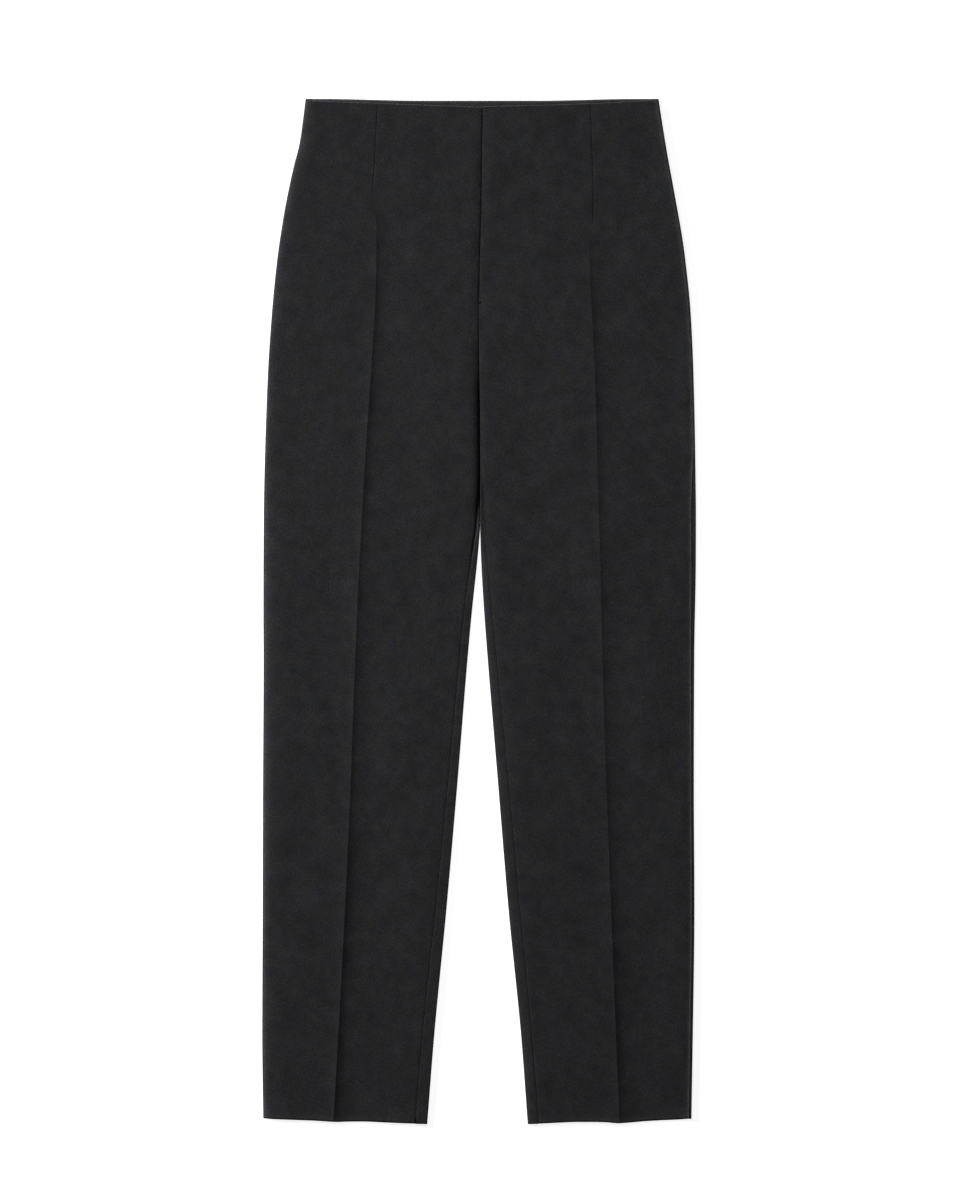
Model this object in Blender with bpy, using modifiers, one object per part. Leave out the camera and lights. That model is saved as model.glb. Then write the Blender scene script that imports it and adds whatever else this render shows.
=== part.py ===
"""Women's suit trousers, lying flat and face up.

Metres, +Z up. The garment rests on the plane z = 0 with its waist towards +Y and its hems
towards -Y, so the wearer's right leg is on the -X side. The origin is under the middle of the
laid garment.

Each panel is a sheet lofted through sections across the garment, then thickened inwards. A
section follows the outside of one laid side: round the outer edge, over the top with its
pressed crease, round the inner edge of the leg and back along the bottom. The front panel is
the stretch from the outseam to the centre-front seam or the inseam, and the back panel is the
rest of the way round.
"""

from collections import namedtuple
from math import cos, pi, radians, sin, tan

import bmesh
import bpy
import numpy as np

MM = 0.001

# ---- Cloth, in millimetres -----------------------------------------------------------------

CLOTH = 1.2
SEAM_GAP = 0.3

# The outermost line of a laid leg is this high. The cloth turns round it with the same radius,
# from flat on the surface below to the shoulder's slope above.
EDGE = 2.2

# The stitched dart sinks a narrow line, and the pressed crease stands up with one steep flank.
DART_REACH = 2.0
STEEP_FLANK = 6.5
GENTLE_FLANK = 16.0
FOLD_WIDTH = 60.0

# How fast the top falls to the centre-front seam.
SEAM_REACH = 3.0

# ---- Sections, in millimetres, from the waist to the hem -----------------------------------

# y of the section, then x of the leg's outer edge, of the dart or crease, and of the inner edge,
# which is the centre-front seam above the crotch. The seams lie on the upper side: the outseam
# is roll_in from the outer edge, and the inseam is wrap_in from the inner edge.
Section = namedtuple("Section", "y outer fold inner roll_in wrap_in")

RIGHT_SECTIONS = (
    Section(510.5, -173.4, -102.5, 2.8, 0.0, 0.0),
    Section(466.5, -179.6, -104.7, 2.4, 0.0, 0.0),
    Section(446.5, -184.8, -105.6, 2.0, 0.0, 0.0),
    Section(416.5, -191.5, -107.4, 1.6, 0.0, 0.0),
    Section(392.0, -196.0, -102.8, 1.2, 0.0, 0.0),
    Section(351.5, -201.9, -102.5, 0.4, 0.0, 0.0),
    Section(300.5, -207.0, -104.1, -0.5, 0.0, 0.0),
    Section(239.5, -211.1, -107.8, -0.6, 0.0, 0.0),
    Section(171.5, -213.6, -112.4, -0.3, 0.0, 0.0),
    Section(135.0, -214.6, -114.7, 0.2, 0.0, 0.0),
    Section(100.0, -215.2, -116.9, 0.4, 0.0, 2.0),
    Section(71.5, -215.4, -118.2, 0.4, 0.0, 4.6),
    Section(51.5, -215.5, -119.1, -1.6, 0.0, 6.6),
    Section(1.5, -215.6, -121.3, -6.8, 0.0, 8.5),
    Section(-48.5, -215.4, -123.6, -11.4, 0.0, 8.8),
    Section(-173.5, -216.0, -128.2, -21.6, 0.0, 10.3),
    Section(-298.5, -216.3, -133.8, -32.5, 0.0, 11.7),
    Section(-423.5, -216.8, -140.4, -44.6, 0.0, 12.5),
    Section(-509.0, -215.8, -145.3, -51.6, 0.0, 12.9),
)

LEFT_SECTIONS = (
    Section(510.5, 179.5, 110.7, 2.8, 0.0, 0.0),
    Section(466.5, 186.6, 112.6, 2.4, 0.0, 0.0),
    Section(416.5, 195.7, 113.4, 1.6, 0.0, 0.0),
    Section(371.5, 203.6, 111.4, 0.8, 0.0, 0.0),
    Section(351.5, 206.3, 111.0, 0.4, 0.0, 0.0),
    Section(300.5, 211.5, 112.8, -0.5, 0.0, 0.0),
    Section(239.5, 214.4, 116.0, -0.5, 0.0, 0.0),
    Section(171.5, 216.0, 118.1, 0.6, 0.8, 0.0),
    Section(135.0, 216.5, 119.2, 0.9, 3.0, 0.0),
    Section(100.0, 216.9, 120.3, 1.1, 4.5, 1.5),
    Section(51.5, 216.8, 121.4, 2.2, 4.2, 5.0),
    Section(-48.5, 215.2, 123.8, 8.6, 2.8, 7.8),
    Section(-173.5, 214.8, 127.6, 19.0, 2.2, 9.5),
    Section(-298.5, 215.4, 132.4, 29.4, 2.2, 10.5),
    Section(-423.5, 213.8, 137.1, 41.9, 2.2, 9.8),
    Section(-509.0, 212.4, 140.5, 48.6, 2.2, 9.6),
)

# Heights at a section: crown is the flat of the top panel and ridge how far the fold stands
# above it, below zero along the dart. dip is how far the centre-front seam lies below the crown,
# and closed runs from 0, where the two sides are one tube, to 1, where each leg is its own.
Height = namedtuple("Height", "y crown ridge dip closed")

HEIGHTS = (
    Height(510.5, 6.1, -0.5, 0.5, 0.0),
    Height(416.5, 6.0, -0.4, 0.6, 0.0),
    Height(385.0, 5.8, 0.3, 0.7, 0.0),
    Height(310.0, 5.6, 0.8, 0.9, 0.0),
    Height(275.0, 5.5, 0.9, 1.1, 0.35),
    Height(239.5, 5.4, 1.1, 1.1, 0.72),
    Height(205.5, 5.3, 1.2, 1.1, 0.88),
    Height(171.5, 5.2, 1.3, 1.1, 1.0),
    Height(51.5, 5.0, 1.5, 1.1, 1.0),
    Height(-173.5, 4.7, 1.7, 1.1, 1.0),
    Height(-509.0, 4.5, 1.8, 1.1, 1.0),
)

# ---- Waist and hem edges, in millimetres ---------------------------------------------------

# The edges are set out from these lines, and the panels' ends are drawn to them over END_FADE.
WAIST_LINE = 510.5
HEM_LINE = -509.0
END_FADE = 90.0

# The back's waist edge dips in the middle, between these distances from the centre back.
BACK_WAIST_RISE = 1.8
BACK_WAIST_FALL = 2.1
BACK_DIP_INNER = 60.0
BACK_DIP_OUTER = 155.0

# Each front's waist edge falls from the side seam to the centre front. A power under 1 puts
# most of the fall by the centre front.
HALF_WAIST = 177.0
FrontWaist = namedtuple("FrontWaist", "rise fall power")
RIGHT_FRONT_WAIST = FrontWaist(0.15, 6.6, 0.95)
LEFT_FRONT_WAIST = FrontWaist(0.35, 6.0, 1.55)

# The hem's height over the hem line, by the share of the leg's width from its outer edge. It
# hangs lowest at the inner edge, with a small peak down at the pressed crease.
Hem = namedtuple("Hem", "share right left")

HEMS = (
    Hem(0.0, 2.5, 2.1),
    Hem(0.06, 1.5, 1.3),
    Hem(0.2, 0.6, 0.2),
    Hem(0.3, 0.0, -0.8),
    Hem(0.38, -0.8, -2.0),
    Hem(0.45, -1.4, -2.7),
    Hem(0.52, -1.0, -1.7),
    Hem(0.6, -0.9, -1.4),
    Hem(0.7, -1.5, -1.4),
    Hem(0.8, -2.3, -2.0),
    Hem(0.9, -2.9, -2.8),
    Hem(1.0, -3.3, -3.4),
)
FRONT_HEM_SHORT = 1.4

# ---- Facing and zip, in millimetres --------------------------------------------------------

FACING_THICK = 1.0
FACING_DEPTH = 44.0
FACING_BELOW_EDGE = 0.7
FACING_INSET = 7.0

ZIP_LENGTH = 196.0
ZIP_BELOW_LINE = 11.2
TAPE_HALF_WIDTH = 12.0
TAPE_THICK = 0.6
COIL_HALF_WIDTH = 2.2
COIL_RISE = 0.4
ZIP_CLEARANCE = 0.45

# ---- Materials -----------------------------------------------------------------------------

Finish = namedtuple("Finish", "name colour roughness")

SUITING = Finish("suiting", (0.021, 0.021, 0.023), 0.9)
FACING_CLOTH = Finish("facing_cloth", (0.024, 0.024, 0.026), 0.9)
ZIP_TAPE = Finish("zip_tape", (0.010, 0.010, 0.011), 0.7)

# ---- How finely the sheets are cut ---------------------------------------------------------

STEPS_BETWEEN_SECTIONS = 2
OUTER_COLUMNS = 10
INNER_COLUMNS = 10
INNER_TURN_COLUMNS = 8
BOTTOM_COLUMNS = 9
OUTER_TURN_COLUMNS = 7
FACING_COLUMNS = 20
ZIP_ROWS = 7
ARC_STEPS = 12
TOP_STEPS = 240

# Columns are shared out by length and by turning, one for about this much of either.
COLUMN_LENGTH = 26.0
COLUMN_TURN = radians(17.0)

# The cloth is straight this far each way from a seam, with a narrow column of its own, which
# keeps the two cut edges of the seam parallel.
SEAM_FLAT = 0.6
SEAM_COLUMN = 0.4

# Points closer together than this count as one.
TOUCH = 1e-6

# ---- The two sides -------------------------------------------------------------------------

# The shoulder is the slope at which the rolled edge runs into the top panel.
Side = namedtuple(
    "Side", "name sections waist out outer_slope inner_slope outer_flank inner_flank"
)

SIDES = (
    Side(
        name="right",
        sections=RIGHT_SECTIONS,
        waist=RIGHT_FRONT_WAIST,
        out=-1,
        outer_slope=radians(35),
        inner_slope=radians(24),
        outer_flank=GENTLE_FLANK,
        inner_flank=STEEP_FLANK,
    ),
    Side(
        name="left",
        sections=LEFT_SECTIONS,
        waist=LEFT_FRONT_WAIST,
        out=1,
        outer_slope=radians(38),
        inner_slope=radians(38),
        outer_flank=STEEP_FLANK,
        inner_flank=GENTLE_FLANK,
    ),
)


# ---- Curves through the tables -------------------------------------------------------------


def smooth_value(rows, name, at):
    """A column of a table where its first column is at, on a smooth curve with no overshoot."""
    known = sorted((row[0], getattr(row, name)) for row in rows)
    place = np.array([pair[0] for pair in known])
    value = np.array([pair[1] for pair in known])
    step = np.diff(place)
    slope = np.diff(value) / step
    tangent = np.zeros(len(value))
    tangent[0] = slope[0]
    tangent[-1] = slope[-1]
    for i in range(1, len(slope)):
        if slope[i - 1] * slope[i] > 0:
            tangent[i] = 2 / (1 / slope[i - 1] + 1 / slope[i])
    i = int(np.clip(np.searchsorted(place, at) - 1, 0, len(step) - 1))
    t = float(np.clip((at - place[i]) / step[i], 0, 1))
    ends = (1 - t) ** 2 * (1 + 2 * t) * value[i] + t**2 * (3 - 2 * t) * value[i + 1]
    leans = t * (1 - t) * ((1 - t) * tangent[i] - t * tangent[i + 1])
    return float(ends + leans * step[i])


def section_places(side):
    """The y of every lofted section: the table's rows, and the steps between them."""
    rows = [row.y for row in side.sections]
    places = []
    for start, end in zip(rows, rows[1:]):
        places += list(np.linspace(start, end, STEPS_BETWEEN_SECTIONS, endpoint=False))
    return places + [rows[-1]]


# ---- One section ---------------------------------------------------------------------------


def arc(centre, radius, start, end):
    """Points on a circle round centre, from one angle to another."""
    angles = np.linspace(start, end, ARC_STEPS)
    across = centre[0] + radius * np.cos(angles)
    up = centre[1] + radius * np.sin(angles)
    return np.stack([across, up], axis=1)


def fold_height(side, distance, ridge):
    """How much the dart or crease adds to the top, by the distance inwards from its line."""
    outer_reach = side.outer_flank if ridge > 0 else DART_REACH
    inner_reach = side.inner_flank if ridge > 0 else DART_REACH
    reach = np.where(distance < 0, outer_reach, inner_reach)
    rise = np.exp(-np.abs(distance) / reach)
    fade = np.clip(1 - (distance / FOLD_WIDTH) ** 2, 0, 1)
    return ridge * rise * fade


def shoulder(crown, slope):
    """The width of the rolled edge, the fall to it from the crown, and the reach of that fall."""
    turned = pi / 2 - slope
    fall = crown - EDGE - EDGE * sin(turned)
    return EDGE * (1 - cos(turned)), fall, fall / tan(slope)


Cut = namedtuple("Cut", "width fold roll_in wrap_in crown ridge dip closed")


def cut_at(side, y):
    """The sizes of one section, with distances measured inwards from the outer edge."""
    outer = smooth_value(side.sections, "outer", y)
    inner = smooth_value(side.sections, "inner", y) + side.out * SEAM_GAP / 2
    fold = smooth_value(side.sections, "fold", y)
    return Cut(
        width=abs(inner - outer),
        fold=abs(fold - outer),
        roll_in=smooth_value(side.sections, "roll_in", y),
        wrap_in=smooth_value(side.sections, "wrap_in", y),
        crown=smooth_value(HEIGHTS, "crown", y),
        ridge=smooth_value(HEIGHTS, "ridge", y),
        dip=smooth_value(HEIGHTS, "dip", y),
        closed=smooth_value(HEIGHTS, "closed", y),
    )


def top_line(side, cut, is_leg):
    """The outside of the top from the outer edge to the inner edge, or to the centre front."""
    outer_width, outer_fall, outer_reach = shoulder(cut.crown, side.outer_slope)
    inner_width, inner_fall, inner_reach = shoulder(cut.crown, side.inner_slope)
    if not is_leg:
        inner_width, inner_fall, inner_reach = 0.0, cut.dip, SEAM_REACH
    start = outer_width
    end = cut.width - inner_width
    across = np.linspace(start, end, TOP_STEPS)
    up = cut.crown - outer_fall * np.exp(-(across - start) / outer_reach)
    up = up - inner_fall * np.exp(-(end - across) / inner_reach)
    up = up + fold_height(side, across - cut.fold, cut.ridge)
    outer_arc = arc((EDGE, EDGE), EDGE, pi, pi / 2 + side.outer_slope)
    line = [outer_arc[:-1], np.stack([across, up], axis=1)]
    if is_leg:
        line.append(arc((cut.width - EDGE, EDGE), EDGE, pi / 2 - side.inner_slope, 0)[1:])
    return np.concatenate(line)


def lengths_along(line):
    """The length from a line's start to each of its points."""
    steps = np.hypot(*np.diff(line, axis=0).T)
    return np.concatenate([[0.0], np.cumsum(steps)])


def part_of(line, start, end):
    """The stretch of a line between two lengths from its start."""
    lengths = lengths_along(line)
    inside = (lengths > start + TOUCH) & (lengths < end - TOUCH)
    wanted = np.concatenate([[start], lengths[inside], [end]])
    return np.stack([np.interp(wanted, lengths, line[:, i]) for i in (0, 1)], axis=1)


def length_where(line, across):
    """The length from a line's start to where it first reaches a distance across."""
    return float(np.interp(across, np.maximum.accumulate(line[:, 0]), lengths_along(line)))


def straightened(line, seam):
    """The line with a short straight stretch over a seam, and the seam's length along it."""
    before = part_of(line, 0.0, seam - SEAM_FLAT)
    after = part_of(line, seam + SEAM_FLAT, lengths_along(line)[-1])
    middle = lengths_along(before)[-1] + np.hypot(*(after[0] - before[-1])) / 2
    return np.concatenate([before, after]), float(middle)


def laid_line(side, cut, is_leg):
    """The outside of one section and the lengths of its outseam and inseam.

    It runs from the middle of the bottom, round the outer edge and over the top. On a leg it
    goes on round the inner edge and back to the middle, and otherwise it stops at the centre
    front, where the second length is its end.
    """
    middle = (cut.width / 2, 0.0)
    outer_turn = arc((EDGE, EDGE), EDGE, 1.5 * pi, pi)
    lower = np.concatenate([[middle], outer_turn])
    top = top_line(side, cut, is_leg)
    edge = lengths_along(lower)[-1]
    outseam = edge + length_where(top, cut.roll_in)
    inseam = edge + length_where(top, cut.width - cut.wrap_in)
    line = np.concatenate([lower, top[1:]])
    line, moved = straightened(line, outseam)
    inseam += moved - outseam
    if not is_leg:
        return line, moved, lengths_along(line)[-1]
    inner_turn = arc((cut.width - EDGE, EDGE), EDGE, 0, -pi / 2)
    line = np.concatenate([line, inner_turn[1:], [middle]])
    line, inseam = straightened(line, inseam)
    return line, moved, inseam


def columns_on(line, count):
    """count points along a line, closer together where it turns."""
    move = np.diff(line, axis=0)
    steps = np.hypot(move[:, 0], move[:, 1])
    heading = np.unwrap(np.arctan2(move[:, 1], move[:, 0]))
    turns = np.concatenate([[0.0], np.abs(np.diff(heading)), [0.0]])
    share = steps / COLUMN_LENGTH + (turns[:-1] + turns[1:]) / (2 * COLUMN_TURN)
    measure = np.concatenate([[0.0], np.cumsum(share)])
    wanted = np.linspace(0, measure[-1], count)
    return np.stack([np.interp(wanted, measure, line[:, i]) for i in (0, 1)], axis=1)


def front_columns(side, cut, is_leg):
    """The front panel's points on one section, from the outseam inwards."""
    line, outseam, inseam = laid_line(side, cut, is_leg)
    start = outseam + SEAM_GAP / 2
    end = inseam - SEAM_GAP / 2 if is_leg else inseam
    fold = outseam + length_where(part_of(line, outseam, end), cut.fold)
    ends = part_of(line, start, end)
    outer = columns_on(part_of(line, start + SEAM_COLUMN, fold), OUTER_COLUMNS)
    inner = columns_on(part_of(line, fold, end - SEAM_COLUMN), INNER_COLUMNS)
    return np.concatenate([ends[:1], outer, inner[1:], ends[-1:]])


def back_columns(side, cut, is_leg):
    """The back panel's points on one section, from the inseam under the leg to the outseam."""
    line, outseam, inseam = laid_line(side, cut, is_leg)
    outer = part_of(line, 0.0, outseam - SEAM_GAP / 2)
    inner = np.array([(cut.width, 0.0), (cut.width / 2, 0.0)])
    if is_leg:
        inner = part_of(line, inseam + SEAM_GAP / 2, lengths_along(line)[-1])
    inner_flat = lengths_along(inner)[-1] - (cut.width / 2 - EDGE)
    outer_flat = cut.width / 2 - EDGE
    outer_end = lengths_along(outer)[-1]
    turn_in = columns_on(part_of(inner, SEAM_COLUMN, inner_flat), INNER_TURN_COLUMNS)
    bottom = np.linspace(turn_in[-1], part_of(outer, 0.0, outer_flat)[-1], BOTTOM_COLUMNS)
    turn_out = columns_on(part_of(outer, outer_flat, outer_end - SEAM_COLUMN), OUTER_TURN_COLUMNS)
    return np.concatenate([inner[:1], turn_in, bottom[1:-1], turn_out, outer[-1:]])


def blended_columns(columns, side, y):
    """A panel's points on the section at y. Near the crotch the tube turns into a leg."""
    cut = cut_at(side, y)
    if cut.closed <= 0:
        return columns(side, cut, False)
    if cut.closed >= 1:
        return columns(side, cut, True)
    return (1 - cut.closed) * columns(side, cut, False) + cut.closed * columns(side, cut, True)


# ---- Panels --------------------------------------------------------------------------------


def back_waist_shift(x):
    """How far the back's waist edge lies above the waist line."""
    t = np.clip((abs(x) - BACK_DIP_INNER) / (BACK_DIP_OUTER - BACK_DIP_INNER), 0, 1)
    return BACK_WAIST_RISE - BACK_WAIST_FALL * (1 - t * t * (3 - 2 * t))


def front_waist_shift(side, x):
    """How far a front's waist edge lies above the waist line, below zero for below it."""
    share = min(abs(x) / HALF_WAIST, 1)
    return side.waist.rise - side.waist.fall * (1 - share**side.waist.power)


def back_edge_shift(side, y, x, share):
    """How far a point of a back is drawn along, to bring its ends to the waist edge and hem."""
    hem = smooth_value(HEMS, side.name, share)
    return near_waist(y) * back_waist_shift(x) + near_hem(y) * hem


def front_edge_shift(side, y, x, share):
    """The same for a front, which is shorter at both ends."""
    hem = smooth_value(HEMS, side.name, share) + FRONT_HEM_SHORT
    return near_waist(y) * front_waist_shift(side, x) + near_hem(y) * hem


def near_waist(y):
    """1 at the waist line, falling to 0 over END_FADE."""
    return np.clip(1 - (WAIST_LINE - y) / END_FADE, 0, 1)


def near_hem(y):
    """1 at the hem line, falling to 0 over END_FADE."""
    return np.clip(1 - (y - HEM_LINE) / END_FADE, 0, 1)


def panel_grid(side, columns, edge_shift):
    """A panel's outer points, one row for each section."""
    grid = []
    for y in section_places(side):
        outer = smooth_value(side.sections, "outer", y)
        width = cut_at(side, y).width
        row = []
        for across, up in blended_columns(columns, side, y):
            x = outer - side.out * across
            row.append((x, y + edge_shift(side, y, x, across / width), up))
        grid.append(row)
    return grid


def sheet_from_grid(name, grid, thickness, material, turned):
    """A sheet through a grid of points in millimetres, thickened away from its outside."""
    sheet = bmesh.new()
    rows = [[sheet.verts.new(np.array(point) * MM) for point in row] for row in grid]
    for low, high in zip(rows, rows[1:]):
        for i in range(len(low) - 1):
            corners = [low[i], low[i + 1], high[i + 1], high[i]]
            sheet.faces.new(corners[::-1] if turned else corners)
    return thickened(name, sheet, thickness, material)


def thickened(name, sheet, thickness, material):
    """An object from an open sheet, with Solidify adding its thickness inwards."""
    mesh = bpy.data.meshes.new(name)
    sheet.to_mesh(mesh)
    sheet.free()
    mesh.shade_smooth()
    mesh.materials.append(material)
    panel = bpy.data.objects.new(name, mesh)
    wall = panel.modifiers.new("cloth", "SOLIDIFY")
    wall.thickness = thickness * MM
    wall.offset = -1
    return panel


def front_panel(side, cloth):
    """One front, from the outseam to the centre front and the inseam."""
    grid = panel_grid(side, front_columns, front_edge_shift)
    return sheet_from_grid("front_" + side.name, grid, CLOTH, cloth, side.out < 0)


def back_panel(side, cloth):
    """One back, from the centre back and the inseam, under the leg, to the outseam."""
    grid = panel_grid(side, back_columns, back_edge_shift)
    return sheet_from_grid("back_" + side.name, grid, CLOTH, cloth, side.out < 0)


# ---- Facing and zip ------------------------------------------------------------------------


def back_waist_facing(cloth):
    """The strip that finishes the back waist, lying on the inside of both backs."""
    left = RIGHT_SECTIONS[0].outer + FACING_INSET
    right = LEFT_SECTIONS[0].outer - FACING_INSET
    top = CLOTH + SEAM_GAP + FACING_THICK
    grid = []
    for x in np.linspace(left, right, FACING_COLUMNS):
        edge = WAIST_LINE + back_waist_shift(x) - FACING_BELOW_EDGE
        grid.append([(x, edge - depth, top) for depth in (0.0, FACING_DEPTH / 2, FACING_DEPTH)])
    return sheet_from_grid("facing_back", grid, FACING_THICK, cloth, False)


def zip_section(y):
    """The closed zip's outline across its length, under the centre-front seam."""
    middle = smooth_value(RIGHT_SECTIONS, "inner", y)
    crown = smooth_value(HEIGHTS, "crown", y)
    dip = smooth_value(HEIGHTS, "dip", y)
    top = crown - dip - CLOTH - ZIP_CLEARANCE
    tape = top - TAPE_THICK
    coil = tape - COIL_RISE
    outline = (
        (-TAPE_HALF_WIDTH, top),
        (TAPE_HALF_WIDTH, top),
        (TAPE_HALF_WIDTH, tape),
        (COIL_HALF_WIDTH, tape),
        (COIL_HALF_WIDTH, coil),
        (-COIL_HALF_WIDTH, coil),
        (-COIL_HALF_WIDTH, tape),
        (-TAPE_HALF_WIDTH, tape),
    )
    return [(middle + across, y, up) for across, up in outline]


def concealed_zip(tape_material):
    """The zip, closed: the two tapes and the coil that joins them, as one strip."""
    start = WAIST_LINE - ZIP_BELOW_LINE
    solid = bmesh.new()
    rings = []
    for y in np.linspace(start, start - ZIP_LENGTH, ZIP_ROWS):
        rings.append([solid.verts.new(np.array(point) * MM) for point in zip_section(y)])
    for near, far in zip(rings, rings[1:]):
        for i in range(len(near)):
            j = (i + 1) % len(near)
            solid.faces.new([near[i], near[j], far[j], far[i]])
    solid.faces.new(rings[0][::-1])
    solid.faces.new(rings[-1])
    bmesh.ops.recalc_face_normals(solid, faces=solid.faces)
    mesh = bpy.data.meshes.new("zip")
    solid.to_mesh(mesh)
    solid.free()
    mesh.materials.append(tape_material)
    return bpy.data.objects.new("zip", mesh)


# ---- The garment ---------------------------------------------------------------------------


def plain_material(finish):
    """A non-metal with one colour."""
    material = bpy.data.materials.new(finish.name)
    material.use_nodes = True
    shader = material.node_tree.nodes["Principled BSDF"]
    shader.inputs["Base Color"].default_value = (*finish.colour, 1.0)
    shader.inputs["Roughness"].default_value = finish.roughness
    shader.inputs["Metallic"].default_value = 0.0
    return material


def clear_scene():
    """Removes whatever the scene holds at the start."""
    for thing in list(bpy.data.objects):
        bpy.data.objects.remove(thing, do_unlink=True)


def main():
    clear_scene()
    suiting = plain_material(SUITING)
    pieces = []
    for side in SIDES:
        pieces.append(front_panel(side, suiting))
        pieces.append(back_panel(side, suiting))
    pieces.append(back_waist_facing(plain_material(FACING_CLOTH)))
    pieces.append(concealed_zip(plain_material(ZIP_TAPE)))
    garment = bpy.data.collections.new("suit_trousers")
    bpy.context.scene.collection.children.link(garment)
    for piece in pieces:
        garment.objects.link(piece)


main()
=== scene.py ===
"""Looks of the women's suit trousers: cloth shells over the laid panels, their seams, darts,
creases and edges, the suiting, and a plain studio.

Sizes are in millimetres, in the frame's axes: the garment lies face up on z = 0, waist to +Y,
and the wearer's right leg is on the -X side.
"""

from collections import namedtuple
from math import atan, cos, pi, radians, sin, tan

import bpy
import numpy as np
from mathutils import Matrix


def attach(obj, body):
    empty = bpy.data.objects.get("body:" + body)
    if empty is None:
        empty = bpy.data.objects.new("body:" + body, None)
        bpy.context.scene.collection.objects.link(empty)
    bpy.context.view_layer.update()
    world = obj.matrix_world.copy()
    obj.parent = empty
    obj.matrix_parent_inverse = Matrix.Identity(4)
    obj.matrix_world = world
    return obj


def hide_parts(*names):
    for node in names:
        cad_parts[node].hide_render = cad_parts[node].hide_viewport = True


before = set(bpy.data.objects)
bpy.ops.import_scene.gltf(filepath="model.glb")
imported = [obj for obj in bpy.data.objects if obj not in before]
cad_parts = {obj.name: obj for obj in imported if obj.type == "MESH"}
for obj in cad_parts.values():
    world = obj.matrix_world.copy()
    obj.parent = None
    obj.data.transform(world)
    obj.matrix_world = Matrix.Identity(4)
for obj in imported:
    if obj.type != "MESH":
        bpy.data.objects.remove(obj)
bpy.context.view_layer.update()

MM = 0.001

# ---- Sections of the two laid sides, from the waist to the hem -------------------------------

# y and x of the outer edge, and how far inside the edges the outseam and the inseam lie.
Section = namedtuple("Section", "y outer roll_in wrap_in")

RIGHT_SECTIONS = (
    Section(510.5, -173.4, 0.0, 0.0),
    Section(466.5, -179.6, 0.0, 0.0),
    Section(446.5, -184.8, 0.0, 0.0),
    Section(416.5, -191.5, 0.0, 0.0),
    Section(392.0, -196.0, 0.0, 0.0),
    Section(351.5, -201.9, 0.0, 0.0),
    Section(300.5, -207.0, 0.0, 0.0),
    Section(239.5, -211.1, 0.0, 0.0),
    Section(171.5, -213.6, 0.2, 0.0),
    Section(135.0, -214.6, 0.6, 0.0),
    Section(120.0, -214.9, 0.7, 0.9),
    Section(100.0, -215.2, 0.7, 2.8),
    Section(85.0, -215.3, 0.7, 4.0),
    Section(71.5, -215.4, 0.7, 5.0),
    Section(51.5, -215.5, 0.7, 6.1),
    Section(1.5, -215.6, 0.7, 7.8),
    Section(-48.5, -215.4, 0.7, 8.1),
    Section(-173.5, -216.0, 0.7, 9.5),
    Section(-298.5, -216.3, 0.7, 10.9),
    Section(-423.5, -216.8, 0.7, 11.8),
    Section(-509.0, -215.8, 0.7, 12.2),
)

LEFT_SECTIONS = (
    Section(510.5, 179.5, 0.0, 0.0),
    Section(466.5, 186.6, 0.0, 0.0),
    Section(416.5, 195.7, 0.0, 0.0),
    Section(371.5, 203.6, 0.0, 0.0),
    Section(351.5, 206.3, 0.0, 0.0),
    Section(300.5, 211.5, 0.0, 0.0),
    Section(239.5, 214.4, 0.0, 0.0),
    Section(171.5, 216.0, 0.8, 0.0),
    Section(135.0, 216.5, 3.0, 0.0),
    Section(100.0, 216.9, 4.5, 1.8),
    Section(51.5, 216.8, 4.2, 6.0),
    Section(-48.5, 215.2, 2.8, 9.0),
    Section(-173.5, 214.8, 2.2, 10.7),
    Section(-298.5, 215.4, 2.2, 11.7),
    Section(-423.5, 213.8, 2.2, 11.0),
    Section(-509.0, 212.4, 2.2, 10.8),
)

# x of the inner edge of each side, which is the centre-front seam above the crotch.
Inner = namedtuple("Inner", "y right left")

INNERS = (
    Inner(510.5, 4.0, 4.0),
    Inner(466.5, 3.2, 3.2),
    Inner(446.5, 3.05, 3.05),
    Inner(416.5, 2.8, 2.8),
    Inner(392.0, 2.2, 2.2),
    Inner(351.5, 1.1, 1.1),
    Inner(300.5, 0.2, 0.2),
    Inner(275.0, 0.1, 0.1),
    Inner(239.5, 0.5, 0.5),
    Inner(205.5, 1.05, 1.05),
    Inner(171.5, 1.28, 1.28),
    Inner(135.0, 1.4, 1.4),
    Inner(115.0, 1.42, 1.42),
    Inner(100.0, 1.2, 1.2),
    Inner(85.0, 1.1, 1.2),
    Inner(71.5, 0.2, 1.5),
    Inner(51.5, -1.6, 2.2),
    Inner(1.5, -6.8, 4.9),
    Inner(-48.5, -11.4, 8.6),
    Inner(-173.5, -21.6, 19.0),
    Inner(-298.5, -32.5, 29.4),
    Inner(-423.5, -44.6, 41.9),
    Inner(-509.0, -51.6, 48.6),
)

# x of the dart's stitched line, and below it of the pressed crease.
Fold = namedtuple("Fold", "y x")

RIGHT_FOLD = (
    Fold(510.5, -101.4),
    Fold(466.5, -103.7),
    Fold(446.5, -104.6),
    Fold(416.5, -106.4),
    Fold(392.0, -102.5),
    Fold(351.5, -102.6),
    Fold(300.5, -104.2),
    Fold(239.5, -107.9),
    Fold(171.5, -112.5),
    Fold(51.5, -119.3),
    Fold(-48.5, -123.8),
    Fold(-173.5, -128.4),
    Fold(-298.5, -134.0),
    Fold(-423.5, -140.6),
    Fold(-509.0, -145.5),
)

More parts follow.
